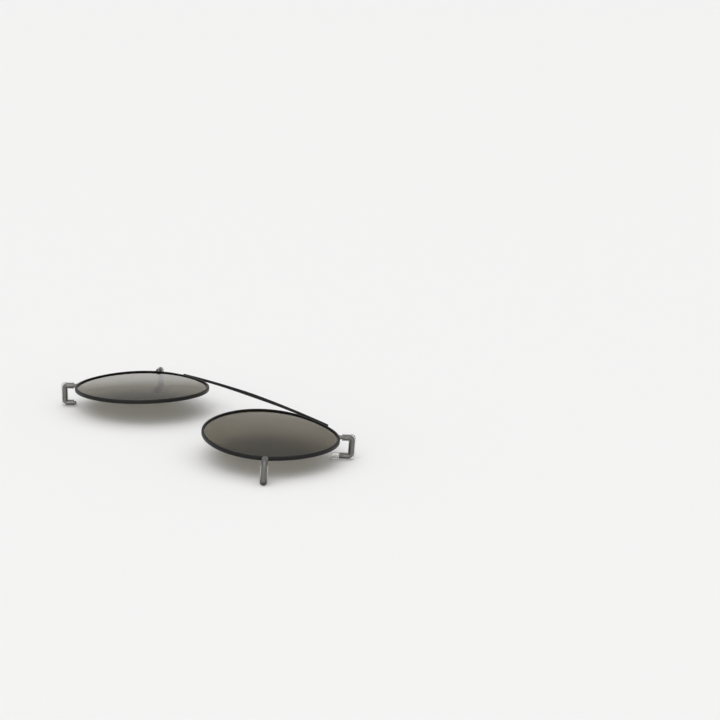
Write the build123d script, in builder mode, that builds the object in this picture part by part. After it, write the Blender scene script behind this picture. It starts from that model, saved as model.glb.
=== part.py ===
from build123d import *
from math import asin, cos, degrees, hypot, radians, sin, sqrt, tan
import os

os.makedirs("parts", exist_ok=True)

# Clip-on sunglasses: two grooved metal rims that hold tinted laminated lenses, one bowed brow bar brazed
# across the tops of the rims, and four bent wire hooks in clear sleeves that grip a spectacle front from behind.
# +X points to the wearer's left, +Y up the lenses to the brow bar, +Z out of the lenses' front.
# The clip lies face up on its hooks, Z = 0 is the surface under them, and X = 0 is the middle of the bridge.

# Lens outline, at the edge that sits in the rim's groove
lens_width = 44.8
lens_height = 43.0
bridge_gap = 23.4  # between the two lens edges
wrap_angle = 2.85  # degrees that each lens turns back towards the wearer's temple

# Shape of the outline: how far its radius departs from a circle, as shares of the mean radius
two_lobe_cos = 0.0194
two_lobe_sin = -0.0221
three_lobe_cos = -0.0100
three_lobe_sin = 0.0259
four_lobe_cos = -0.0142
outline_points = 36

# Lens laminate
dome_radius = 265.0
front_sheet = 0.32
film = 0.08
back_sheet = 0.30

# Rim
groove_depth = 0.35
rim_wall = 0.45  # metal outside the groove
front_lip = 0.45  # from the rim's front face down to the lens edge
back_lip = 0.20
rim_outer_round = 0.28
rim_inner_round = 0.10

# Brow bar
bar_overhang = 4.13  # bar's end past the middle of each lens
bar_middle_radius = 0.66
bar_quarter_radius = 0.50
bar_end_radius = 0.42
bar_rise = 0.74  # middle of the bar above the rims' front
bar_bow = 1.30  # middle of the bar above its ends
bar_stations = 16

# Hooks and sleeves
upper_hook_angle = 51.0
lower_hook_angle = -43.5
hook_reach = 4.2  # rim's outer wall to the middle of the upright
hook_root_depth = 0.60  # rim's front face to the middle of the wire's root
grip_gap = 4.3  # rim's back to the sleeve, where the spectacle front goes
wire_radius = 0.65
wire_bend = 0.80
wire_tip_round = 0.20
lower_arm = 3.9  # upright's middle to the wire's tip
sleeve_wall = 0.50
sleeve_start = 1.0
upper_sleeve_past_tip = 2.4
lower_sleeve_short_of_tip = 0.9

# Brazing
braze_gap = 0.06
bar_braze_length = 6.0
bar_braze_height = 0.75
hook_braze_radius = 0.88
hook_braze_length = 0.55

lens_depth = front_sheet + film + back_sheet
rim_depth = front_lip + lens_depth + back_lip
sleeve_radius = wire_radius + sleeve_wall
wrap = radians(wrap_angle)


def shape_point(turn):
    """Point of the lens outline before it is stretched to its width and height, outward side at 0 degrees."""
    angle = radians(turn)
    radius = (
        1
        + two_lobe_cos * cos(2 * angle)
        + two_lobe_sin * sin(2 * angle)
        + three_lobe_cos * cos(3 * angle)
        + three_lobe_sin * sin(3 * angle)
        + four_lobe_cos * cos(4 * angle)
    )
    return radius * cos(angle), radius * sin(angle)


shape = [shape_point(turn) for turn in range(360)]
shape_width = max(x for x, y in shape) - min(x for x, y in shape)
shape_height = max(y for x, y in shape) - min(y for x, y in shape)


def edge_point(turn, grow=0.0):
    """Point on the outline in the lens plane, moved out square to the edge by grow."""
    step = 0.01
    stretch_x = lens_width / shape_width
    stretch_y = lens_height / shape_height
    x, y = shape_point(turn)
    ahead_x, ahead_y = shape_point(turn + step)
    along_x = (ahead_x - x) * stretch_x
    along_y = (ahead_y - y) * stretch_y
    along = hypot(along_x, along_y)
    return x * stretch_x + grow * along_y / along, y * stretch_y - grow * along_x / along


def outline(side, grow=0.0):
    """Closed run of points round one lens, mirrored by its side."""
    turns = [360 * number / outline_points for number in range(outline_points)]
    points = [edge_point(turn, grow) for turn in turns]
    return [(side * x, y) for x, y in points]


edge = [edge_point(turn) for turn in range(360)]
inner_reach = -min(x for x, y in edge)
rim_top = max(edge_point(turn, rim_wall)[1] for turn in range(360))
mean_edge_radius = sum(hypot(x, y) for x, y in edge) / len(edge)
lens_centre = bridge_gap / 2 + inner_reach * cos(wrap)
bar_length = 2 * (lens_centre + bar_overhang)


def hook_root(turn):
    """Foot of a hook on the rim's outer wall and its outward direction, in the lens plane."""
    x, y = edge_point(turn, rim_wall)
    length = hypot(x, y)
    return (x, y), (x / length, y / length)


def wire_start(turn):
    """How far off the wall a hook's square end starts, so that its nearest edge clears the wall by the braze gap."""
    (x, y), (out_x, out_y) = hook_root(turn)
    beyond_x, beyond_y = edge_point(turn, rim_wall + 1)
    lean = asin(abs(out_x * (beyond_y - y) - out_y * (beyond_x - x)))
    return braze_gap + wire_radius * tan(lean)


def corner_offset(turn):
    """Outward distance of a hook's upright from the middle of its lens."""
    (x, y), (out_x, out_y) = hook_root(turn)
    return x + out_x * hook_reach


# The lower hooks keep the grip gap exactly, and the upper ones end on the same surface.
grip_level = -rim_depth - grip_gap - sleeve_radius
rim_front = sleeve_radius + sin(wrap) * corner_offset(lower_hook_angle) - cos(wrap) * grip_level


def lens_plane(side, level=0.0):
    """Plane of one rim, level above its front face, with X and Y along the clip's own axes."""
    return Plane(
        origin=(side * lens_centre, 0, rim_front),
        x_dir=(cos(wrap), 0, -side * sin(wrap)),
        z_dir=(side * sin(wrap), 0, cos(wrap)),
    ).offset(level)


def hook_plane(side, turn):
    """Upright plane of one hook: X runs outward from the rim's wall, Y along the lens's own axis."""
    (x, y), (out_x, out_y) = hook_root(turn)
    face = lens_plane(side)
    out = face.x_dir * (side * out_x) + face.y_dir * out_y
    return Plane(
        origin=face.from_local_coords((side * x, y, 0)),
        x_dir=out,
        z_dir=out.cross(face.z_dir),
    )


def bar_height(x):
    """Height of the bar's middle line, which is bowed as an arc."""
    half_length = bar_length / 2
    bow_radius = (half_length**2 + bar_bow**2) / (2 * bar_bow)
    return rim_front + bar_rise - bow_radius + sqrt(bow_radius**2 - x**2)


def bar_radius(x):
    """The bar's radius, tapering from its middle to its quarter points and from there to its ends."""
    quarter = bar_length / 4
    distance = abs(x)
    if distance < quarter:
        return bar_middle_radius + (bar_quarter_radius - bar_middle_radius) * distance / quarter
    return bar_quarter_radius + (bar_end_radius - bar_quarter_radius) * (distance - quarter) / quarter


bar_line = rim_top + braze_gap + bar_radius(lens_centre)

# Rims and lenses
rims = {}
for side, side_name in ((-1, "right"), (1, "left")):
    dome_centre = -front_lip - sqrt(dome_radius**2 - mean_edge_radius**2)
    dome_place = lens_plane(side, dome_centre).origin

    # The laminate is cut from a stack of shells that share one centre.
    sheet_top = dome_radius
    for sheet_name, thickness in (
        ("lens_front_sheet", front_sheet),
        ("polarising_film", film),
        ("lens_back_sheet", back_sheet),
    ):
        with BuildPart() as sheet:
            with BuildSketch(lens_plane(side, -rim_depth)):
                with BuildLine():
                    Spline(outline(side), periodic=True)
                make_face()
            extrude(amount=rim_depth + lens_depth)
            with Locations(dome_place):
                Sphere(sheet_top, rotation=(90, 0, 0), mode=Mode.INTERSECT)
                Sphere(sheet_top - thickness, rotation=(90, 0, 0), mode=Mode.SUBTRACT)
        sheet_top -= thickness
        sheet.part.label = f"{sheet_name}_{side_name}"
        export_step(sheet.part, f"parts/{sheet_name}_{side_name}.step")

    with BuildPart() as groove:
        with BuildSketch(lens_plane(side, -rim_depth)):
            with BuildLine():
                Spline(outline(side), periodic=True)
            make_face()
        extrude(amount=rim_depth + lens_depth)
        with Locations(dome_place):
            Sphere(dome_radius, rotation=(90, 0, 0), mode=Mode.INTERSECT)
            Sphere(dome_radius - lens_depth, rotation=(90, 0, 0), mode=Mode.SUBTRACT)

    with BuildPart() as rim:
        with BuildSketch(lens_plane(side, -rim_depth)):
            with BuildLine():
                Spline(outline(side, rim_wall), periodic=True)
            make_face()
        extrude(amount=rim_depth)
        fillet(rim.edges().filter_by(GeomType.BSPLINE), radius=rim_outer_round)
        with BuildSketch(lens_plane(side, -rim_depth)):
            with BuildLine():
                Spline(outline(side, -groove_depth), periodic=True)
            make_face()
        extrude(amount=rim_depth, mode=Mode.SUBTRACT)
        fillet(rim.edges(Select.LAST).filter_by(GeomType.BSPLINE), radius=rim_inner_round)
        add(groove.part, mode=Mode.SUBTRACT)
    rim.part.label = f"rim_{side_name}"
    export_step(rim.part, f"parts/rim_{side_name}.step")
    rims[side_name] = rim.part

# Brow bar
with BuildPart() as brow_bar:
    for station in range(bar_stations + 1):
        x = bar_length * (station / bar_stations - 0.5)
        slope = (bar_height(x + 0.01) - bar_height(x - 0.01)) / 0.02
        with BuildSketch(Plane(origin=(x, bar_line, bar_height(x)), x_dir=(0, 1, 0), z_dir=(1, 0, slope))):
            Circle(bar_radius(x))
    loft(ruled=True)
brow_bar.part.label = "brow_bar"
export_step(brow_bar.part, "parts/brow_bar.step")

# The braze fills the wedge between the bar and the top of each rim.
for side, side_name in ((-1, "right"), (1, "left")):
    spread = degrees(asin(bar_braze_length / 2 / rim_top))
    foot = [edge_point(90 + spread * share, rim_wall) for share in (-1, -0.5, 0, 0.5, 1)]
    foot = [(side * x, y) for x, y in foot]
    joint_level = bar_height(lens_centre) - rim_front - bar_braze_height
    with BuildPart() as bar_braze:
        with BuildSketch(lens_plane(side, joint_level)):
            with BuildLine():
                Spline(foot)
                Polyline(foot[-1], (foot[-1][0], bar_line), (foot[0][0], bar_line), foot[0])
            make_face()
        extrude(amount=bar_braze_height)
        add(brow_bar.part, mode=Mode.SUBTRACT)
    bar_braze.part.label = f"bar_braze_{side_name}"
    export_step(bar_braze.part, f"parts/bar_braze_{side_name}.step")

# Hooks, their sleeves and the braze at their roots
for side, side_name in ((-1, "right"), (1, "left")):
    for level_name, turn, past_tip in (
        ("upper", upper_hook_angle, upper_sleeve_past_tip),
        ("lower", lower_hook_angle, -lower_sleeve_short_of_tip),
    ):
        name = f"{level_name}_{side_name}"
        plane = hook_plane(side, turn)
        root_level = -hook_root_depth
        foot_level = (sleeve_radius - rim_front + sin(wrap) * corner_offset(turn)) / cos(wrap)
        upper_corner = (hook_reach, root_level)
        lower_corner = (hook_reach, foot_level)

        with BuildPart() as hook:
            with BuildLine(plane) as hook_run:
                FilletPolyline(
                    (wire_start(turn), root_level),
                    upper_corner,
                    lower_corner,
                    (hook_reach - lower_arm, foot_level),
                    radius=wire_bend,
                )
            with BuildSketch(Plane(origin=hook_run.line @ 0, z_dir=hook_run.line % 0)):
                Circle(wire_radius)
            sweep()
            tip = hook.faces().filter_by(GeomType.PLANE).sort_by_distance(hook_run.line @ 1)[0]
            fillet(tip.edges(), radius=wire_tip_round)
        hook.part.label = f"hook_{name}"
        export_step(hook.part, f"parts/hook_{name}.step")

        sleeve_end = hook_reach - lower_arm - past_tip
        bends = [plane.from_local_coords((*corner, 0)) for corner in (upper_corner, lower_corner)]
        sleeve_ends = [
            plane.from_local_coords((sleeve_start, root_level, 0)),
            plane.from_local_coords((sleeve_end, foot_level, 0)),
        ]
        with BuildPart() as sleeve:
            for start, stop in zip((sleeve_ends[0], *bends), (*bends, sleeve_ends[1])):
                with BuildSketch(Plane(origin=start, z_dir=stop - start)):
                    Circle(sleeve_radius)
                extrude(amount=(stop - start).length)
            with Locations(*bends):
                Sphere(sleeve_radius)
            with BuildLine(plane) as bore_run:
                FilletPolyline(
                    (sleeve_start - sleeve_wall, root_level),
                    upper_corner,
                    lower_corner,
                    (sleeve_end - sleeve_wall, foot_level),
                    radius=wire_bend,
                )
            with BuildSketch(Plane(origin=bore_run.line @ 0, z_dir=bore_run.line % 0)):
                Circle(wire_radius)
            sweep(mode=Mode.SUBTRACT)
        sleeve.part.label = f"sleeve_{name}"
        export_step(sleeve.part, f"parts/sleeve_{name}.step")

        root_middle = plane.from_local_coords((-rim_wall / 2, root_level, 0))
        with BuildPart() as hook_braze:
            with BuildSketch(Plane(origin=root_middle, z_dir=plane.x_dir)):
                Circle(hook_braze_radius)
            with BuildSketch(Plane(origin=root_middle, z_dir=plane.x_dir).offset(rim_wall / 2 + hook_braze_length)):
                Circle(wire_radius + braze_gap)
            loft()
            add(hook.part, mode=Mode.SUBTRACT)
            with BuildSketch(lens_plane(side, -rim_depth - hook_braze_radius)):
                with BuildLine():
                    Spline(*outline(side, rim_wall), periodic=True)
                make_face()
            extrude(amount=rim_depth + 2 * hook_braze_radius, mode=Mode.SUBTRACT)
        hook_braze.part.label = f"hook_braze_{name}"
        export_step(hook_braze.part, f"parts/hook_braze_{name}.step")

print("rim depth", round(rim_depth, 3), "rim front above the surface", round(rim_front, 3))
print("lens centres", round(2 * lens_centre, 3), "apart")
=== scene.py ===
import math
import random

import bpy
from mathutils import Matrix, Vector


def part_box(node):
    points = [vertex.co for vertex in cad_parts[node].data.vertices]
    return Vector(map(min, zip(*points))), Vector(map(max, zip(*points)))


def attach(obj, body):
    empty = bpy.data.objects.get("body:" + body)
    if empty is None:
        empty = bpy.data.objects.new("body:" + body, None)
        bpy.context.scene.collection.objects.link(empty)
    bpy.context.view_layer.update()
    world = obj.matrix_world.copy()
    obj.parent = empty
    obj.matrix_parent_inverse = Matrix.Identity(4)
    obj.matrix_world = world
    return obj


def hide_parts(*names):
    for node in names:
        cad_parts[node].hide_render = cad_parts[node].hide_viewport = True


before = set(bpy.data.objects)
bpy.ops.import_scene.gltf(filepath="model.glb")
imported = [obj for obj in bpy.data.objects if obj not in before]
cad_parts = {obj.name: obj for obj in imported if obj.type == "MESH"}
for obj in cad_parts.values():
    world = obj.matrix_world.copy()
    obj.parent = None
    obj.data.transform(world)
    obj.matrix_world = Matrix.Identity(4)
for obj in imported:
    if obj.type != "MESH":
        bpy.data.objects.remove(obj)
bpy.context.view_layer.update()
mm = 0.001
sides = {"right": -1, "left": 1}  # the wearer's own sides
print("frame loaded:", len(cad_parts), "nodes")


class Wire:
    # a socket that can be used in sums
    def __init__(self, finish, socket):
        self.finish = finish
        self.socket = socket

    def __add__(self, other):
        return self.finish.sum("ADD", self, other)

    def __radd__(self, other):
        return self.finish.sum("ADD", other, self)

    def __sub__(self, other):
        return self.finish.sum("SUBTRACT", self, other)

    def __rsub__(self, other):
        return self.finish.sum("SUBTRACT", other, self)

    def __mul__(self, other):
        return self.finish.sum("MULTIPLY", self, other)

    def __rmul__(self, other):
        return self.finish.sum("MULTIPLY", other, self)


class Finish:
    # one node tree, for a material or for the world
    def __init__(self, name, owner=None):
        self.owner = owner or bpy.data.materials.new(name)
        self.owner.use_nodes = True
        self.tree = self.owner.node_tree
        self.tree.nodes.clear()

    def node(self, kind, settings=None, sockets=None, out=0):
        made = self.tree.nodes.new(kind)
        for key, value in (settings or {}).items():
            if key == "stops":
                ramp = made.color_ramp
                while len(ramp.elements) < len(value):
                    ramp.elements.new(0.5)
                for element, (place, colour) in zip(ramp.elements, value):
                    element.position = place
                    element.color = colour
            else:
                setattr(made, key, value)
        for key, value in (sockets or {}).items():
            socket = made.inputs[key]
            if isinstance(value, Wire):
                self.tree.links.new(value.socket, socket)
            else:
                socket.default_value = value
        return Wire(self, made.outputs[out]) if made.outputs else made

    def sum(self, operation, *values):
        return self.node("ShaderNodeMath", {"operation": operation}, dict(enumerate(values)))

    def blend(self, share, low, high):
        # a colour between two colours
        sockets = {"Factor": share, 6: low, 7: high}
        return self.node("ShaderNodeMix", {"data_type": "RGBA"}, sockets, out=2)

    def between(self, wire, low, high):
        # a value spread between low and high
        return wire * (high - low) + low

    def noise(self, where, scale, detail=3.0, roughness=0.5):
        sockets = {"Vector": where, "Scale": scale, "Detail": detail, "Roughness": roughness}
        return self.node("ShaderNodeTexNoise", {}, sockets)

    def place(self):
        return self.node("ShaderNodeTexCoord", out=3)  # object coordinates, in metres

    def unwrapped(self):
        return self.node("ShaderNodeTexCoord", out=2)  # U along the piece, V round it

    def stretched(self, where, scale):
        return self.node("ShaderNodeMapping", {}, {"Vector": where, "Scale": scale})

    def bump(self, height, strength, distance):
        sockets = {"Height": height, "Strength": strength, "Distance": distance}
        return self.node("ShaderNodeBump", {}, sockets)

    def surface(self, **inputs):
        sockets = {name.replace("_", " "): value for name, value in inputs.items()}
        shader = self.node("ShaderNodeBsdfPrincipled", {}, sockets)
        self.node("ShaderNodeOutputMaterial", {}, {"Surface": shader})
        return self.owner


view = {
    "azimuth": 45.947,  # degrees round from the bottom edge of the lenses towards the wearer's left
    "elevation": 14.691,
    "roll": 2.455,
    "lens": 87.43,
    "sensor": 36.0,
    "distance": 0.59265,  # in metres, like the next two
    "aside": 0.05337,  # how far the clip's middle lies left of the camera's axis
    "below": 0.02479,
    "nearest": 0.01,
    "farthest": 60.0,
}


def makeCamera():
    azimuth = math.radians(view["azimuth"])
    elevation = math.radians(view["elevation"])
    roll = math.radians(view["roll"])
    ahead = Vector((
        -math.sin(azimuth) * math.cos(elevation),
        math.cos(azimuth) * math.cos(elevation),
        -math.sin(elevation),
    ))
    level = Vector((math.cos(azimuth), math.sin(azimuth), 0.0))
    upright = level.cross(ahead)
    right = level * math.cos(roll) + upright * math.sin(roll)
    up = upright * math.cos(roll) - level * math.sin(roll)
    place = right * view["aside"] + up * view["below"] - ahead * view["distance"]
    turn = Matrix((right, up, -ahead)).transposed().to_4x4()
    lens = bpy.data.cameras.new("camera")
    lens.lens = view["lens"]
    lens.sensor_width = view["sensor"]
    lens.clip_start = view["nearest"]
    lens.clip_end = view["farthest"]
    camera = bpy.data.objects.new("camera", lens)
    camera.matrix_world = Matrix.Translation(place) @ turn
    bpy.context.scene.collection.objects.link(camera)
    bpy.context.scene.camera = camera


makeCamera()
print("camera placed")

studio = {
    "floorSize": 30.0,
    "floorColour": (0.90, 0.90, 0.90, 1),
    "floorGrain": (0.895, 0.895, 0.895, 1),
    "grainScale": 900.0,
    "worldStrength": 1.5,
    # height up the sky, as the sine of its angle, and how bright it is there
    "skyGlow": (
        (0.0, 0.58),
        (0.135, 0.58),
        (0.215, 0.345),
        (0.30, 0.285),
        (0.40, 0.24),
        (0.52, 0.24),
        (0.66, 0.44),
        (0.80, 0.68),
    ),
    # a long low softbox behind the camera
    "softboxGlow": ((0.0, 1.0), (0.32, 1.0), (0.42, 0.0), (1.0, 0.0)),
    "softboxStrength": 1.5,
    "softboxSide": (0.72, -0.69),
    "sunStrength": 0.8,
    "sunColour": (1.0, 0.975, 0.94),
    "sunSpread": 50.0,  # degrees across, for soft shadows
    "sunTurn": (38.0, 0.0, 28.0),
}


def greys(glows):
    # brightness stops as very slightly cool greys
    return [(place, (glow, glow * 1.003, glow * 1.008, 1)) for place, glow in glows]


def makeStudio():
    half = studio["floorSize"] / 2
    mesh = bpy.data.meshes.new("floor")
    corners = [(-half, -half, 0), (half, -half, 0), (half, half, 0), (-half, half, 0)]
    mesh.from_pydata(corners, [], [(0, 1, 2, 3)])
    floor = bpy.data.objects.new("floor", mesh)
    bpy.context.scene.collection.objects.link(floor)
    paper = Finish("floorPaper")
    grain = paper.noise(paper.place(), studio["grainScale"], 2.0)
    tone = paper.blend(grain, studio["floorGrain"], studio["floorColour"])
    mesh.materials.append(paper.surface(Base_Color=tone, Roughness=0.9, Specular_IOR_Level=0.1))

    light = bpy.data.lights.new("softSun", "SUN")
    light.energy = studio["sunStrength"]
    light.color = studio["sunColour"]
    light.angle = math.radians(studio["sunSpread"])
    sun = bpy.data.objects.new("softSun", light)
    sun.rotation_euler = [math.radians(turn) for turn in studio["sunTurn"]]
    bpy.context.scene.collection.objects.link(sun)

    world = bpy.data.worlds.new("studio")
    bpy.context.scene.world = world
    sky = Finish("studio", world)
    towards = sky.node("ShaderNodeTexCoord", out=0)
    ways = [sky.node("ShaderNodeSeparateXYZ", {}, {0: towards}, out=axis) for axis in range(3)]
    tone = sky.node("ShaderNodeValToRGB", {"stops": greys(studio["skyGlow"])}, {0: ways[2]})
    roof = sky.node("ShaderNodeBackground", {}, {"Color": tone, "Strength": studio["worldStrength"]})
    sideX, sideY = studio["softboxSide"]
    facing = sky.sum("MAXIMUM", ways[0] * sideX + ways[1] * sideY, 0.0)
    band = sky.node("ShaderNodeValToRGB", {"stops": greys(studio["softboxGlow"])}, {0: ways[2]})
    strength = facing * studio["softboxStrength"]
    softbox = sky.node("ShaderNodeBackground", {}, {"Color": band, "Strength": strength})
    both = sky.node("ShaderNodeAddShader", {}, {0: roof, 1: softbox})
    sky.node("ShaderNodeOutputWorld", {}, {"Surface": both})
    bpy.context.scene.view_settings.view_transform = "Standard"


makeStudio()
print("studio lit")

# lengths of the pieces are in millimetres and their angles in degrees
outlineSizes = {
    "width": 44.8,
    "height": 43.0,
    "bridgeGap": 23.4,
    "wrap": 2.85,
    "twoCos": 0.0194,
    "twoSin": -0.0221,
    "threeCos": -0.0100,
    "threeSin": 0.0259,
    "fourCos": -0.0142,
}
rimSizes = {
    "grooveDepth": 0.35,
    "wall": 0.45,
    "frontLip": 0.45,
    "backLip": 0.20,
    "outerRound": 0.28,
    "innerRound": 0.10,
    "outerSteps": 8,
    "innerSteps": 5,
    "grooveSlack": 0.01,  # room left between the groove and each face of the lens
    "grooveBreak": 0.02,  # its mouth's edges are broken
    "grooveFloor": 0.005,  # its floor lies this far past the lens edge
    "crown": 0.015,  # the outer wall bulges very slightly
    "crownSteps": 6,
    "stations": 480,
}
lensSizes = {
    "front": 0.32,
    "film": 0.08,
    "back": 0.30,
    "dome": 265.0,
    "rings": 56,
    "turns": 240,
    "edgeBreak": 0.06,
}
lensDepth = lensSizes["front"] + lensSizes["film"] + lensSizes["back"]
rimDepth = rimSizes["frontLip"] + lensDepth + rimSizes["backLip"]
wrap = math.radians(outlineSizes["wrap"])


def shapePoint(turn):
    angle = math.radians(turn)
    radius = 1 + outlineSizes["twoCos"] * math.cos(2 * angle)
    radius += outlineSizes["twoSin"] * math.sin(2 * angle)
    radius += outlineSizes["threeCos"] * math.cos(3 * angle)
    radius += outlineSizes["threeSin"] * math.sin(3 * angle)
    radius += outlineSizes["fourCos"] * math.cos(4 * angle)
    return radius * math.cos(angle), radius * math.sin(angle)


roundShape = [shapePoint(turn) for turn in range(360)]
stretchX = outlineSizes["width"] / (max(x for x, y in roundShape) - min(x for x, y in roundShape))
stretchY = outlineSizes["height"] / (max(y for x, y in roundShape) - min(y for x, y in roundShape))


def edgePoint(turn, grow=0.0):
    # point of the lens edge in the lens plane, moved out square to the edge by grow
    step = 0.01
    x, y = shapePoint(turn)
    nextX, nextY = shapePoint(turn + step)
    alongX, alongY = (nextX - x) * stretchX, (nextY - y) * stretchY
    along = math.hypot(alongX, alongY)
    return x * stretchX + grow * alongY / along, y * stretchY - grow * alongX / along


lensEdge = [edgePoint(turn) for turn in range(360)]
meanRadius = sum(math.hypot(x, y) for x, y in lensEdge) / len(lensEdge)
lensCentre = outlineSizes["bridgeGap"] / 2 - min(x for x, y in lensEdge) * math.cos(wrap)
rimTop = max(edgePoint(turn, rimSizes["wall"])[1] for turn in range(360))
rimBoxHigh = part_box("rim_left")[1]
innerX = min(edgePoint(turn, rimSizes["wall"])[0] for turn in range(360))
rimFront = rimBoxHigh.z / mm + innerX * math.sin(wrap)  # the inner edge of the rim stands highest


def onLens(side, x, y, z):
    # from one lens's own plane, in millimetres with x outward, to the frame in metres
    worldX = side * (lensCentre + x * math.cos(wrap) + z * math.sin(wrap))
    worldZ = rimFront - x * math.sin(wrap) + z * math.cos(wrap)
    return Vector((worldX * mm, y * mm, worldZ * mm))


def domeDrop(x, y):
    # how much lower the lens's front lies here than at the edge's mean radius, negative inside it
    middle = math.sqrt(lensSizes["dome"] ** 2 - meanRadius**2)
    return middle - math.sqrt(lensSizes["dome"] ** 2 - x * x - y * y)


def makePiece(name, points, faces, material, nodes, marks=None, flip=False):
    # a smooth-shaded piece that stands for its CAD nodes
    if flip:
        faces = [tuple(reversed(face)) for face in faces]
    mesh = bpy.data.meshes.new(name)
    mesh.from_pydata(points, [], faces)
    mesh.update()
    if marks:
        layer = mesh.uv_layers.new(name="run")
        for polygon in mesh.polygons:
            corners = [marks[vertex] for vertex in polygon.vertices]
            wide = max(v for u, v in corners) - min(v for u, v in corners) > 0.5
            for loop, (u, v) in zip(polygon.loop_indices, corners):
                layer.data[loop].uv = (u, v + 1.0 if wide and v < 0.5 else v)
    mesh.materials.append(material)
    mesh.shade_smooth()
    piece = bpy.data.objects.new(name, mesh)
    bpy.context.scene.collection.objects.link(piece)
    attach(piece, "root")
    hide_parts(*nodes)
    return piece


def gridFaces(rows, columns, closeRows=False):
    # quads between rows of points, each row a ring
    faces = []
    for row in range(rows if closeRows else rows - 1):
        above, below = row * columns, (row + 1) % rows * columns
        for column in range(columns):
            side = (column + 1) % columns
            faces.append((above + column, above + side, below + side, below + column))
    return faces


def capFaces(start, columns, centre, backwards=False):
    # a fan of triangles from the ring that begins at start to its centre
    fan = []
    for column in range(columns):
        here, side = start + column, start + (column + 1) % columns
        fan.append((side, here, centre) if backwards else (here, side, centre))
    return fan


def closeEnd(points, row, columns):
    # adds the middle of a ring to the points, and closes that end with a fan
    ring = points[row * columns:row * columns + columns]
    points.append(sum(ring, Vector()) / columns)
    return capFaces(row * columns, columns, len(points) - 1, backwards=row == 0)


def cornerArc(centreA, centreB, radius, first, last, steps):
    # points round a corner, from the first to the last angle in degrees
    points = []
    for step in range(steps + 1):
        angle = math.radians(first + (last - first) * step / steps)
        points.append((centreA + radius * math.cos(angle), centreB + radius * math.sin(angle)))
    return points


# depths in the finishes are in metres
lacquerLook = {
    "rimTone": (0.0065, 0.0062, 0.006),
    "rimRoughness": 0.34,
    "barTone": (0.008, 0.0078, 0.0076),
    "barRoughness": 0.36,
    "cloudScale": 260.0,
    "fineScale": 5200.0,
    "peelScale": 1500.0,
    "peelShare": 1.5,
    "darkest": 0.7,
    "lightest": 1.5,
    "glossier": -0.05,
    "duller": 0.07,
    "fineRoughness": 0.04,
    "skinStrength": 0.16,
    "skinDepth": 0.00004,
}
lensLook = {
    "tints": ((0.150, 0.130, 0.086, 1), (0.172, 0.149, 0.098, 1)),
    "tintScale": 90.0,
    "wipeScale": 700.0,
    "wipeStretch": (1.0, 0.25, 1.0),
    "roughness": (0.0, 0.035),
    "bending": 1.50,  # refractive index
}
wireLook = {
    "streaks": ((0.105, 0.106, 0.106, 1), (0.225, 0.225, 0.22, 1)),
    "streakStretch": (6.0, 60.0, 1.0),
    "dull": (0.14, 0.13, 0.115, 1),
    "dullScale": 420.0,
    "dullShare": 0.35,
    "roughness": (0.26, 0.42),
    "streakStrength": 0.25,
    "streakDepth": 0.00002,
}
brazeLook = {
    "stains": ((0.13, 0.125, 0.115, 1), (0.36, 0.35, 0.33, 1)),
    "stainScale": 900.0,
    "lumpScale": 2600.0,
    "metal": 0.9,
    "roughness": (0.34, 0.60),
    "lumpStrength": 0.5,
    "lumpDepth": 0.00006,
}
sleeveLook = {
    "hazes": ((0.93, 0.92, 0.885, 1), (0.97, 0.965, 0.945, 1)),
    "hazeScale": 700.0,
    "lineStretch": (3.0, 34.0, 1.0),
    "roughness": (0.06, 0.16),
    "lineStrength": 0.12,
    "lineDepth": 0.00003,
    "bending": 1.43,  # refractive index
}


def makeLacquer(name, tone, roughness):
    # satin black lacquer on metal, uneven in tone and gloss, with an orange-peel skin
    paint = Finish(name)
    place = paint.place()
    cloud = paint.noise(place, lacquerLook["cloudScale"], 4.0)
    fine = paint.noise(place, lacquerLook["fineScale"], 2.0, 0.6)
    peel = paint.noise(place, lacquerLook["peelScale"], 2.0) * lacquerLook["peelShare"]
    darkest = tuple(part * lacquerLook["darkest"] for part in tone) + (1,)
    lightest = tuple(part * lacquerLook["lightest"] for part in tone) + (1,)
    glossiest, dullest = roughness + lacquerLook["glossier"], roughness + lacquerLook["duller"]
    return paint.surface(
        Base_Color=paint.blend(cloud, darkest, lightest),
        Roughness=paint.between(cloud, glossiest, dullest) + fine * lacquerLook["fineRoughness"],
        Normal=paint.bump(fine + peel, lacquerLook["skinStrength"], lacquerLook["skinDepth"]),
        IOR=1.45,
        Specular_IOR_Level=0.22,
    )


def makeLensTint():
    # glossy grey-brown sun lens that lets a little light through
    tint = Finish("lensTint")
    place = tint.place()
    cloud = tint.noise(place, lensLook["tintScale"], 3.0)
    stretched = tint.stretched(place, lensLook["wipeStretch"])
    wiped = tint.noise(stretched, lensLook["wipeScale"], 3.0, 0.6)
    return tint.surface(
        Base_Color=tint.blend(cloud, *lensLook["tints"]),
        Roughness=tint.between(wiped, *lensLook["roughness"]),
        IOR=lensLook["bending"],
        Transmission_Weight=1.0,
    )


def makeWireMetal():
    # drawn silver-grey wire with fine streaks along it and duller patches
    metal = Finish("wireMetal")
    stretched = metal.stretched(metal.unwrapped(), wireLook["streakStretch"])
    streak = metal.noise(stretched, 1.0, 3.0, 0.6)
    cloud = metal.noise(metal.place(), wireLook["dullScale"], 3.0)
    colour = metal.blend(streak, *wireLook["streaks"])
    colour = metal.blend(cloud * wireLook["dullShare"], colour, wireLook["dull"])
    return metal.surface(
        Base_Color=colour,
        Metallic=1.0,
        Roughness=metal.between(streak, *wireLook["roughness"]),
        Normal=metal.bump(streak, wireLook["streakStrength"], wireLook["streakDepth"]),
    )


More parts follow.
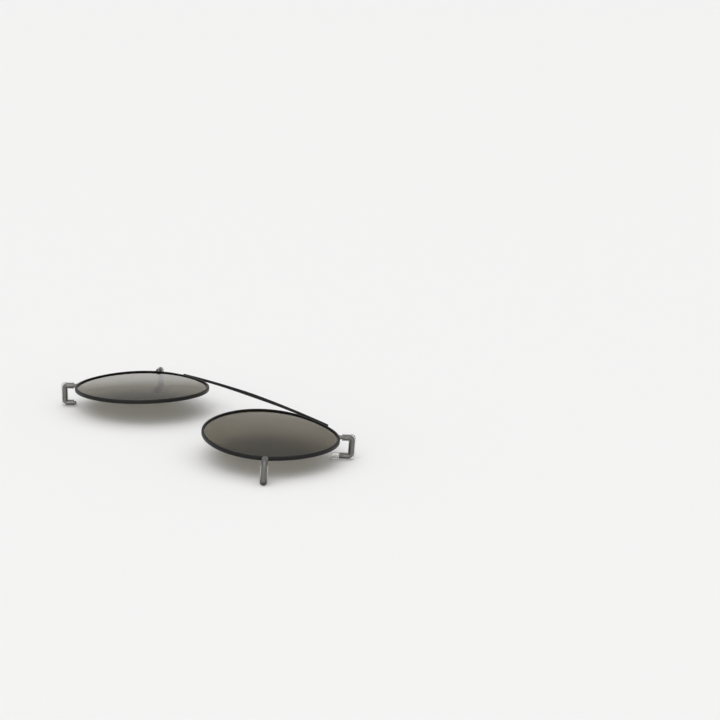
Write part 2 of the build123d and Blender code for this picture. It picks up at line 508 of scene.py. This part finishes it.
def makeBrazeMetal():
    # dull braze, lumpy and stained
    braze = Finish("brazeMetal")
    place = braze.place()
    lump = braze.noise(place, brazeLook["lumpScale"], 3.0, 0.6)
    stain = braze.noise(place, brazeLook["stainScale"], 2.0)
    return braze.surface(
        Base_Color=braze.blend(stain, *brazeLook["stains"]),
        Metallic=brazeLook["metal"],
        Roughness=braze.between(lump, *brazeLook["roughness"]),
        Normal=braze.bump(lump, brazeLook["lumpStrength"], brazeLook["lumpDepth"]),
    )


def makeClearSleeve():
    # clear soft plastic, slightly hazy, with faint draw lines
    plastic = Finish("clearSleeve")
    stretched = plastic.stretched(plastic.unwrapped(), sleeveLook["lineStretch"])
    lines = plastic.noise(stretched, 1.0, 2.0)
    haze = plastic.noise(plastic.place(), sleeveLook["hazeScale"], 3.0)
    return plastic.surface(
        Base_Color=plastic.blend(haze, *sleeveLook["hazes"]),
        Roughness=plastic.between(haze, *sleeveLook["roughness"]),
        Normal=plastic.bump(lines, sleeveLook["lineStrength"], sleeveLook["lineDepth"]),
        IOR=sleeveLook["bending"],
        Transmission_Weight=1.0,
    )


lacquer = makeLacquer("rimLacquer", lacquerLook["rimTone"], lacquerLook["rimRoughness"])
barLacquer = makeLacquer("barLacquer", lacquerLook["barTone"], lacquerLook["barRoughness"])
lensTint = makeLensTint()
wireMetal = makeWireMetal()
brazeMetal = makeBrazeMetal()
clearSleeve = makeClearSleeve()
print("finishes mixed")


def rimProfile(drop):
    # closed section of the rim: (out from the lens edge, up from the front face), anticlockwise
    out, inn = rimSizes["wall"], -rimSizes["grooveDepth"]
    bigRound, bigSteps = rimSizes["outerRound"], rimSizes["outerSteps"]
    smallRound, smallSteps = rimSizes["innerRound"], rimSizes["innerSteps"]
    slack, mouth, floor = rimSizes["grooveSlack"], rimSizes["grooveBreak"], rimSizes["grooveFloor"]
    grooveTop = -rimSizes["frontLip"] - drop + slack
    grooveBottom = grooveTop - lensDepth - 2 * slack
    section = cornerArc(out - bigRound, -bigRound, bigRound, 0, 90, bigSteps)
    section += cornerArc(inn + smallRound, -smallRound, smallRound, 90, 180, smallSteps)
    section += [(inn, grooveTop + mouth), (inn + mouth, grooveTop), (floor, grooveTop)]
    section += [(floor, grooveBottom), (inn + mouth, grooveBottom), (inn, grooveBottom - mouth)]
    section += cornerArc(inn + smallRound, smallRound - rimDepth, smallRound, 180, 270, smallSteps)
    section += cornerArc(out - bigRound, bigRound - rimDepth, bigRound, 270, 360, bigSteps)
    lowest, highest = bigRound - rimDepth, -bigRound
    for step in range(1, rimSizes["crownSteps"]):
        share = step / rimSizes["crownSteps"]
        bulge = rimSizes["crown"] * math.sin(math.pi * share)
        section.append((out + bulge, lowest + (highest - lowest) * share))
    return section


def makeRim(sideName):
    # the grooved section carried round the lens
    side = sides[sideName]
    points, marks = [], []
    for station in range(rimSizes["stations"]):
        turn = 360 * station / rimSizes["stations"]
        section = rimProfile(domeDrop(*edgePoint(turn)))
        for number, (out, up) in enumerate(section):
            x, y = edgePoint(turn, out)
            points.append(onLens(side, x, y, up))
            marks.append((station / rimSizes["stations"], number / len(section)))
    faces = gridFaces(rimSizes["stations"], len(section), closeRows=True)
    name = f"rim_{sideName}"
    return makePiece(name + "_wire", points, faces, lacquer, [name], marks, flip=side > 0)


for sideName in sides:
    makeRim(sideName)
print("rims swept")


def makeLens(sideName):
    # one domed disc for the whole laminate, with its rim edge broken
    side = sides[sideName]
    turns, rings, edgeBreak = lensSizes["turns"], lensSizes["rings"], lensSizes["edgeBreak"]
    shares = [math.sin(math.pi / 2 * ring / rings) for ring in range(1, rings)]
    layout = [(share, 0.0, 0.0) for share in shares]
    layout += [(1.0, -edgeBreak, 0.0), (1.0, 0.0, -edgeBreak), (1.0, 0.0, edgeBreak - lensDepth)]
    layout += [(1.0, -edgeBreak, -lensDepth)]
    layout += [(share, 0.0, -lensDepth) for share in reversed(shares)]
    points = []
    for share, grow, level in layout:
        for number in range(turns):
            x, y = edgePoint(360 * number / turns, grow)
            x, y = x * share, y * share
            points.append(onLens(side, x, y, level - rimSizes["frontLip"] - domeDrop(x, y)))
    faces = gridFaces(len(layout), turns)
    front, back = len(points), len(points) + 1
    points.append(onLens(side, 0, 0, -rimSizes["frontLip"] - domeDrop(0, 0)))
    points.append(onLens(side, 0, 0, -lensDepth - rimSizes["frontLip"] - domeDrop(0, 0)))
    faces += capFaces(0, turns, front, backwards=True)
    faces += capFaces((len(layout) - 1) * turns, turns, back)
    sheets = ("lens_front_sheet", "polarising_film", "lens_back_sheet")
    nodes = [f"{sheet}_{sideName}" for sheet in sheets]
    return makePiece(f"lens_{sideName}", points, faces, lensTint, nodes, flip=side > 0)


for sideName in sides:
    makeLens(sideName)
print("lenses ground")

barSizes = {
    "pastLens": 4.13,  # bar's end past the middle of each lens
    "middle": 0.66,
    "quarter": 0.50,
    "end": 0.42,
    "rise": 0.74,
    "bow": 1.30,
    "endRound": 0.14,
    "endSteps": 6,
    "endRow": 0.3,  # from each rounded end to the first plain row
    "smoothing": 5.0,  # the tapers are averaged this far to each side
    "stations": 220,
    "turns": 32,
    "brazeGap": 0.06,
}
barLength = 2 * (lensCentre + barSizes["pastLens"])


def barRadius(x):
    quarter = barLength / 4
    away = min(abs(x), 2 * quarter)
    if away > quarter:
        taper = (barSizes["end"] - barSizes["quarter"]) / quarter
        return barSizes["quarter"] + taper * (away - quarter)
    return barSizes["middle"] + (barSizes["quarter"] - barSizes["middle"]) * away / quarter


def smoothRadius(x):
    # the drawn taper has no kinks, so the straight tapers are averaged
    steps = range(-8, 9)
    return sum(barRadius(x + barSizes["smoothing"] * step / 8) for step in steps) / len(steps)


def barHeight(x):
    half = barLength / 2
    bend = (half**2 + barSizes["bow"] ** 2) / (2 * barSizes["bow"])
    return rimFront + barSizes["rise"] - bend + math.sqrt(bend * bend - x * x)


barLine = rimTop + barSizes["brazeGap"] + barRadius(lensCentre)


def makeBar():
    half, turns, endRound = barLength / 2, barSizes["turns"], barSizes["endRound"]
    endSteps, nudge = barSizes["endSteps"], 0.01
    rounding = [math.pi / 2 * step / endSteps for step in range(endSteps + 1)]  # rounds each cut end
    tip = [(-half + endRound * (1 - math.cos(q)), endRound * (1 - math.sin(q))) for q in rounding]
    inner, stations = half - endRound - barSizes["endRow"], barSizes["stations"]
    plain = [(-inner + 2 * inner * step / stations, 0.0) for step in range(stations + 1)]
    stops = tip + plain + [(-x, inset) for x, inset in reversed(tip)]
    points, marks = [], []
    for x, inset in stops:
        slope = (barHeight(x + nudge) - barHeight(x - nudge)) / (2 * nudge)
        across = Vector((-slope, 0, 1)).normalized()
        radius = smoothRadius(x) - inset
        middle = Vector((x, barLine, barHeight(x)))
        for number in range(turns):
            angle = 2 * math.pi * number / turns
            spot = middle + Vector((0, 1, 0)) * radius * math.cos(angle)
            points.append((spot + across * radius * math.sin(angle)) * mm)
            marks.append((x / barLength + 0.5, number / turns))
    faces = gridFaces(len(stops), turns)
    for end in (-1, 1):
        points.append(Vector((end * half, barLine, barHeight(end * half))) * mm)
        marks.append((0.5 + 0.5 * end, 0.0))
    faces += capFaces(0, turns, len(points) - 2, backwards=True)
    faces += capFaces((len(stops) - 1) * turns, turns, len(points) - 1)
    return makePiece("brow_bar_drawn", points, faces, barLacquer, ["brow_bar"], marks)


makeBar()
print("brow bar drawn")

barBrazeSizes = {
    "length": 6.0,
    "height": 0.46,
    "below": 0.16,  # middle of the bead below the middle of the bar
    "back": 0.1,  # and nearer the rim than halfway from its wall to the bar's middle
    "wider": 0.05,  # half its width is this much more than half of that way
    "fade": 0.4,  # power that keeps the bead wide until near its ends
    "lumps": 0.05,
    "waves": (5, 11),
    "stations": 40,
    "turns": 28,
}


def makeBarBraze(sideName, seed):
    # a smooth bead that fills the wedge under the bar and thins out to nothing at both ends
    side = sides[sideName]
    dice = random.Random(seed)
    phases = [dice.uniform(0, 2 * math.pi) for number in range(2)]
    stations, turns, lumps = (barBrazeSizes[key] for key in ("stations", "turns", "lumps"))
    points = []
    half, (slow, quick) = barBrazeSizes["length"] / 2, barBrazeSizes["waves"]
    for station in range(1, stations):
        along = -math.cos(math.pi * station / stations)
        x = along * half
        taper = math.sqrt(max(0.0, 1 - along * along))
        wallY = edgePoint(90 - math.degrees(x / rimTop), rimSizes["wall"])[1]
        lump = 1 + lumps * math.sin(slow * x + phases[0]) + lumps * math.sin(quick * x + phases[1])
        lift = barHeight(side * (lensCentre + x)) - rimFront
        middleZ = lift - barBrazeSizes["below"] + x * math.sin(wrap)
        middleY = (wallY + barLine) / 2 - barBrazeSizes["back"]
        deep = (barLine - wallY) / 2 + barBrazeSizes["wider"]
        for number in range(turns):
            angle = 2 * math.pi * number / turns
            y = middleY + deep * math.cos(angle) * taper ** barBrazeSizes["fade"]
            z = middleZ + barBrazeSizes["height"] * lump * math.sin(angle) * taper
            points.append(onLens(side, x, y, z))
    faces = gridFaces(stations - 1, turns)
    for row in (0, stations - 2):
        faces += closeEnd(points, row, turns)
    name = f"bar_braze_{sideName}"
    return makePiece(name + "_bead", points, faces, lacquer, [name], flip=side < 0)


for sideName, seed in zip(sides, (11, 12)):
    makeBarBraze(sideName, seed)
print("bar brazed")

hookSizes = {
    "upperTurn": 51.0,
    "lowerTurn": -43.5,
    "reach": 4.2,
    "rootDepth": 0.60,
    "wire": 0.65,
    "bend": 0.80,
    "tightest": 0.08,  # smallest radius on the inside of a bend
    "tipRound": 0.22,
    "tipSteps": 6,
    "lowerArm": 3.9,
    "turns": 36,
}
sleeveSizes = {
    "wall": 0.50,
    "start": 1.0,
    "upperPast": 2.4,
    "lowerShort": 0.9,
    "grip": 0.006,  # the soft tube is stretched over the wire
    "lip": 0.10,
    "lipSteps": 4,
    "mouth": 0.03,  # the bore's ends are flared by this much
    "bend": 0.12,
    "turns": 40,
}
sleeveRadius = hookSizes["wire"] + sleeveSizes["wall"]


def hookRoot(turn):
    x, y = edgePoint(turn, rimSizes["wall"])
    length = math.hypot(x, y)
    return (x, y), (x / length, y / length)


class HookRun:
    # the bent line of one hook: out from the rim, down behind it and back in
    def __init__(self, sideName, levelName):
        self.side = sides[sideName]
        turn = hookSizes[levelName + "Turn"]
        (self.x, self.y), (self.outX, self.outY) = hookRoot(turn)
        self.root = -hookSizes["rootDepth"]
        beyondX, beyondY = edgePoint(turn, rimSizes["wall"] + 1)
        lean = math.asin(abs(self.outX * (beyondY - self.y) - self.outY * (beyondX - self.x)))
        self.start = barSizes["brazeGap"] + hookSizes["wire"] * math.tan(lean)
        cornerX = self.x + self.outX * hookSizes["reach"]
        self.foot = (sleeveRadius - rimFront + math.sin(wrap) * cornerX) / math.cos(wrap)

    def place(self, out, level, across):
        x = self.x + self.outX * out - self.outY * across
        y = self.y + self.outY * out + self.outX * across
        return onLens(self.side, x, y, level)

    def ring(self, stop, radius, bend, turns):
        # one ring of points at a stop, which is a stretch's name and the share of the way along it;
        # leadTo and tailTo have their open end with that share, lead and tail only a distance out
        stretch, share = stop
        spots = []
        for number in range(turns):
            angle = 2 * math.pi * number / turns
            inward, across = radius * math.cos(angle), radius * math.sin(angle)
            corner = max(hookSizes["tightest"], bend - inward)
            wallOut = hookSizes["reach"] - inward
            top, low = self.root - inward, self.foot + inward
            quarter = math.pi / 2 * (share if stretch.startswith("bend") else 0)
            if stretch == "lead":
                out, level = share, top
            elif stretch == "leadTo":
                start, fraction = share
                out, level = start + (wallOut - corner - start) * fraction, top
            elif stretch == "bendOne":
                out = wallOut - corner + corner * math.sin(quarter)
                level = top - corner + corner * math.cos(quarter)
            elif stretch == "drop":
                out, level = wallOut, (top - corner) + (low + corner - top + corner) * share
            elif stretch == "bendTwo":
                out = wallOut - corner + corner * math.cos(quarter)
                level = low + corner - corner * math.sin(quarter)
            elif stretch == "tailTo":
                end, fraction = share
                out, level = end + (wallOut - corner - end) * (1 - fraction), low
            else:
                out, level = share, low
            spots.append(self.place(out, level, across))
        return spots


def hookStops(start, end, bendSteps=12, legSteps=6):
    # every stop between two open ends, which are given as distances out from the rim's wall
    stops = [("leadTo", (start, step / legSteps)) for step in range(legSteps)]
    stops += [("bendOne", step / bendSteps) for step in range(bendSteps)]
    stops += [("drop", step / legSteps) for step in range(legSteps)]
    stops += [("bendTwo", step / bendSteps) for step in range(bendSteps)]
    stops += [("tailTo", (end, step / legSteps)) for step in range(legSteps + 1)]
    return stops


def makeHook(sideName, levelName):
    # one bent wire with a rounded tip
    run = HookRun(sideName, levelName)
    turns, radius, tipRound = hookSizes["turns"], hookSizes["wire"], hookSizes["tipRound"]
    tipOut = hookSizes["reach"] - hookSizes["lowerArm"]
    layout = [(stop, radius) for stop in hookStops(run.start, tipOut + tipRound)]
    for step in range(1, hookSizes["tipSteps"] + 1):
        angle = math.pi / 2 * step / hookSizes["tipSteps"]
        stop = ("tail", tipOut + tipRound * (1 - math.sin(angle)))
        layout.append((stop, radius - tipRound * (1 - math.cos(angle))))
    points, marks = [], []
    for row, (stop, size) in enumerate(layout):
        points += run.ring(stop, size, hookSizes["bend"], turns)
        marks += [(row / len(layout), number / turns) for number in range(turns)]
    faces = gridFaces(len(layout), turns)
    for row in (0, len(layout) - 1):
        faces += closeEnd(points, row, turns)
        marks.append((row / len(layout), 0.0))
    name = f"hook_{levelName}_{sideName}"
    flip = run.side < 0
    return makePiece(name + "_wire", points, faces, wireMetal, [name], marks, flip)


def makeSleeve(sideName, levelName):
    # a tube with rounded lips, its bore a hair narrower than the wire that stretches it
    run = HookRun(sideName, levelName)
    turns, lip, lipSteps = sleeveSizes["turns"], sleeveSizes["lip"], sleeveSizes["lipSteps"]
    innerBend, outerBend, flared = hookSizes["bend"], sleeveSizes["bend"], sleeveSizes["mouth"]
    past = sleeveSizes["upperPast"] if levelName == "upper" else -sleeveSizes["lowerShort"]
    start, end = sleeveSizes["start"], hookSizes["reach"] - hookSizes["lowerArm"] - past
    bore = hookSizes["wire"] - sleeveSizes["grip"]

    def lipRows(stretch, edge):
        rows = []
        for step in range(1, lipSteps + 1):
            angle = math.pi / 2 * step / lipSteps
            size = sleeveRadius - lip * (1 - math.cos(angle))
            rows.append(((stretch, edge + lip * (1 - math.sin(angle))), size, outerBend))
        return rows

    skin = [(stop, sleeveRadius, outerBend) for stop in hookStops(start + lip, end + lip)]
    skin += lipRows("tail", end)
    skin.append((("tail", end), bore + flared, innerBend))
    skin += [(stop, bore, innerBend) for stop in reversed(hookStops(start + flared, end + flared))]
    skin.append((("lead", start), bore + flared, innerBend))
    skin += reversed(lipRows("lead", start))
    points, marks = [], []
    for row, (stop, size, bend) in enumerate(skin):
        points += run.ring(stop, size, bend, turns)
        marks += [(row / len(skin), number / turns) for number in range(turns)]
    faces = gridFaces(len(skin), turns, closeRows=True)
    name = f"sleeve_{levelName}_{sideName}"
    flip = run.side < 0
    return makePiece(name + "_tube", points, faces, clearSleeve, [name], marks, flip)


hookBrazeSizes = {
    "radius": 0.88,
    "length": 0.58,
    "sunk": 0.14,  # how far it runs into the rim's wall
    "skin": 0.01,  # thickness at its thin end
    "flare": 1.8,  # power that draws the collar in quickly from the wall
    "filed": 0.02,  # its top is filed level this much above the thin end
    "lumps": 0.035,
    "waves": (3, 5),
    "twist": 6,
    "stations": 12,
    "turns": 32,
}


def makeHookBraze(sideName, levelName, seed):
    # a small flared collar of braze where the wire meets the rim's wall
    run = HookRun(sideName, levelName)
    dice = random.Random(seed)
    phases = [dice.uniform(0, 2 * math.pi) for number in range(2)]
    turns, stations, sunk = (hookBrazeSizes[key] for key in ("turns", "stations", "sunk"))
    thin = hookSizes["wire"] + hookBrazeSizes["skin"]
    highest = run.root + thin + hookBrazeSizes["filed"]
    (slow, quick), twist = hookBrazeSizes["waves"], hookBrazeSizes["twist"]
    points = []
    for station in range(stations + 1):
        share = station / stations
        out = -sunk + (hookBrazeSizes["length"] + sunk) * share
        flare = thin + (hookBrazeSizes["radius"] - thin) * (1 - share) ** hookBrazeSizes["flare"]
        uneven = hookBrazeSizes["lumps"] * (1 - share)
        for number in range(turns):
            angle = 2 * math.pi * number / turns
            waves = math.sin(slow * angle + phases[0])
            waves += math.sin(quick * angle + twist * share + phases[1])
            radius = flare * (1 + uneven * waves)
            level = min(run.root - radius * math.cos(angle), highest)
            points.append(run.place(out, level, radius * math.sin(angle)))
    faces = gridFaces(stations + 1, turns)
    for row in (0, stations):
        faces += closeEnd(points, row, turns)
    name = f"hook_braze_{levelName}_{sideName}"
    flip = run.side < 0
    return makePiece(name + "_collar", points, faces, brazeMetal, [name], flip=flip)


for sideName, seed in zip(sides, (35, 37)):
    for levelName in ("upper", "lower"):
        makeHook(sideName, levelName)
        makeSleeve(sideName, levelName)
        makeHookBraze(sideName, levelName, seed)
print("hooks bent and sleeved")
